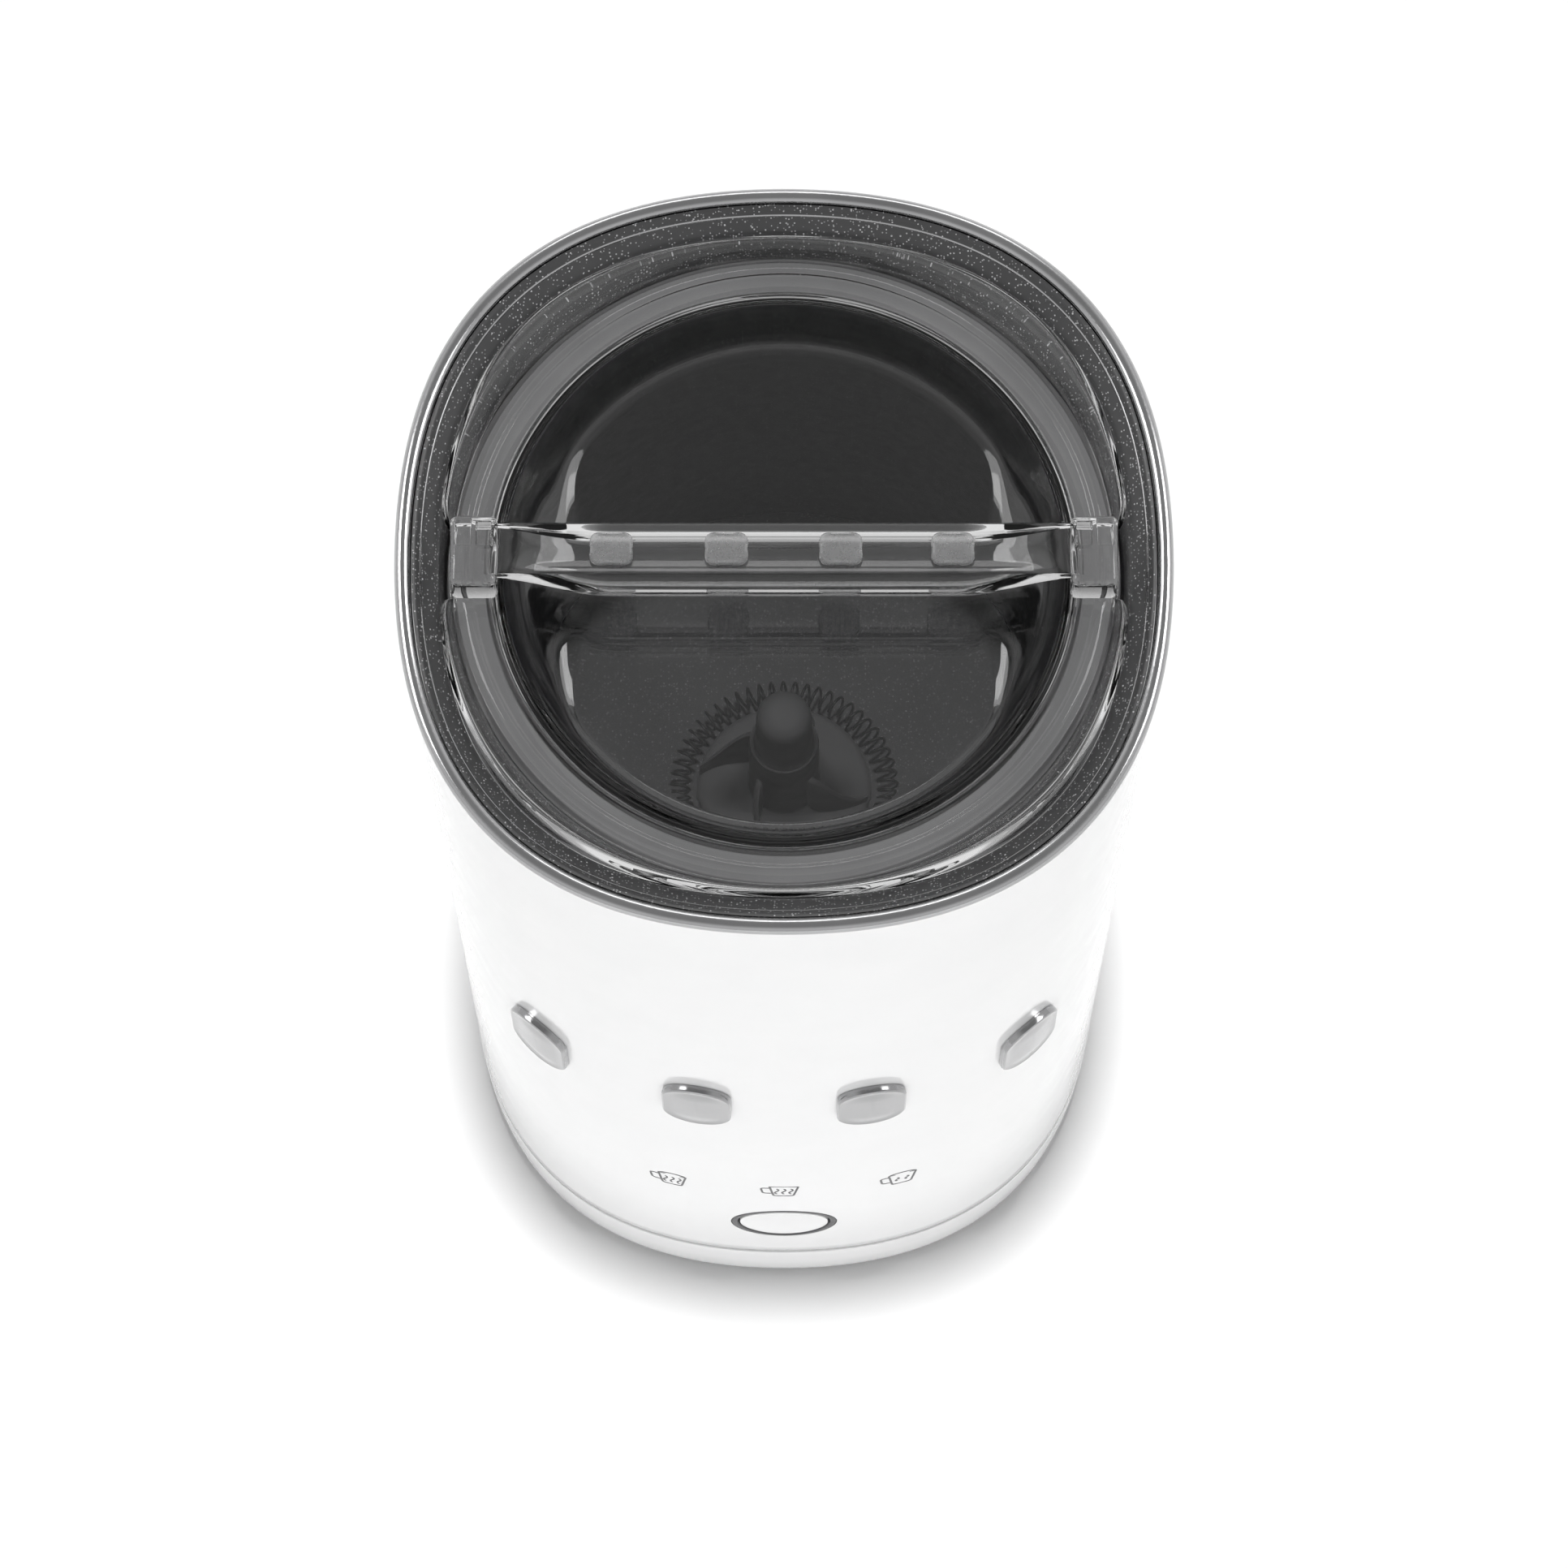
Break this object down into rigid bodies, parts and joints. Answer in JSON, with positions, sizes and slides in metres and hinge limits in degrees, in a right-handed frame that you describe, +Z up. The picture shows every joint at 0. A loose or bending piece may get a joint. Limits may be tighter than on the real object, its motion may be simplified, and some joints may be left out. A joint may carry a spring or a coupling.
{
  "type": "milk frother",
  "caption": "Compact cordless electric milk frother: soft-square body on a power base, heated non-stick jug, magnetic whisk, press button and clear lift-off lid.",
  "frame": {"origin": "centre of the footprint, on the surface the feet stand on", "axes": "+Z up, -Y towards the front with the button, +X to the right seen from the front"},
  "size_m": [0.1004, 0.102, 0.1953],
  "materials": {
    "white_gloss": "high-gloss white moulded plastic",
    "grey_plastic": "dark grey satin plastic",
    "black_plastic": "black satin plastic",
    "polished_steel": "polished steel",
    "nonstick": "dark speckled non-stick coating on steel",
    "aluminium": "plain machined aluminium",
    "rubber": "matt black rubber",
    "silicone": "translucent grey silicone",
    "clear_plastic": "clear polished moulded plastic",
    "brass": "bare brass",
    "circuit_green": "coated circuit board",
    "magnet": "nickel-plated magnet"
  },
  "bodies": {
    "power_base": {"base_cover": "white_gloss", "base_plate": "grey_plastic", "base_screw_1": "polished_steel", "base_screw_2": "polished_steel", "base_screw_3": "polished_steel", "base_foot_1": "rubber", "base_foot_2": "rubber", "base_foot_3": "rubber", "base_foot_4": "rubber", "base_connector": "black_plastic", "contact_pin": "brass", "contact_ring": "brass", "cord_bush": "black_plastic"},
    "frother": {"outer_shell": "white_gloss", "bottom_cover": "white_gloss", "body_screw_1": "polished_steel", "body_screw_2": "polished_steel", "body_screw_3": "polished_steel", "body_screw_4": "polished_steel", "bottom_socket": "black_plastic", "rim_ring": "polished_steel", "jug_gasket": "silicone", "jug": "nonstick", "whisk_pivot": "polished_steel", "heater_plate": "aluminium", "heating_element": "aluminium", "temperature_sensor": "polished_steel", "motor_bracket": "aluminium", "motor": "polished_steel", "button_board": "circuit_green", "main_board": "circuit_green", "push_switch": "black_plastic", "mode_lamp_1": "silicone", "mode_lamp_2": "silicone", "mode_lamp_3": "silicone", "button_bezel": "grey_plastic", "front_badge_1": "polished_steel", "front_badge_2": "polished_steel", "front_badge_3": "polished_steel", "front_badge_4": "polished_steel"},
    "drive": {"motor_shaft": "polished_steel", "magnet_carrier": "black_plastic", "drive_magnet_1": "magnet", "drive_magnet_2": "magnet"},
    "whisk": {"whisk_rotor": "black_plastic", "whisk_coil": "polished_steel", "whisk_magnet_1": "magnet", "whisk_magnet_2": "magnet"},
    "button": {"start_button": "white_gloss"},
    "lid": {"lid_shell": "clear_plastic", "lid_handle": "clear_plastic", "lid_seal": "silicone"}
  },
  "joints": [
    {"name": "frother_lift", "type": "slide", "parent": "power_base", "child": "frother", "axis": [0, 0, 1], "range_m": [0, 0.03]},
    {"name": "lid_lift", "type": "slide", "parent": "frother", "child": "lid", "axis": [0, 0, 1], "range_m": [0, 0.04]},
    {"name": "drive_spin", "type": "hinge", "parent": "frother", "child": "drive", "pos_m": [0, 0, 0.07], "axis": [0, 0, 1], "continuous": true},
    {"name": "whisk_spin", "type": "hinge", "parent": "frother", "child": "whisk", "pos_m": [0, 0, 0.09], "axis": [0, 0, 1], "continuous": true},
    {"name": "button_press", "type": "slide", "parent": "frother", "child": "button", "axis": [0, 1, 0], "range_m": [0, 0.0008], "stiffness_N_per_m": 900, "springref_m": -0.0004}
  ],
  "couplings": [
    {"joint": "whisk_spin", "follows": "drive_spin", "ratio": 1}
  ]
}
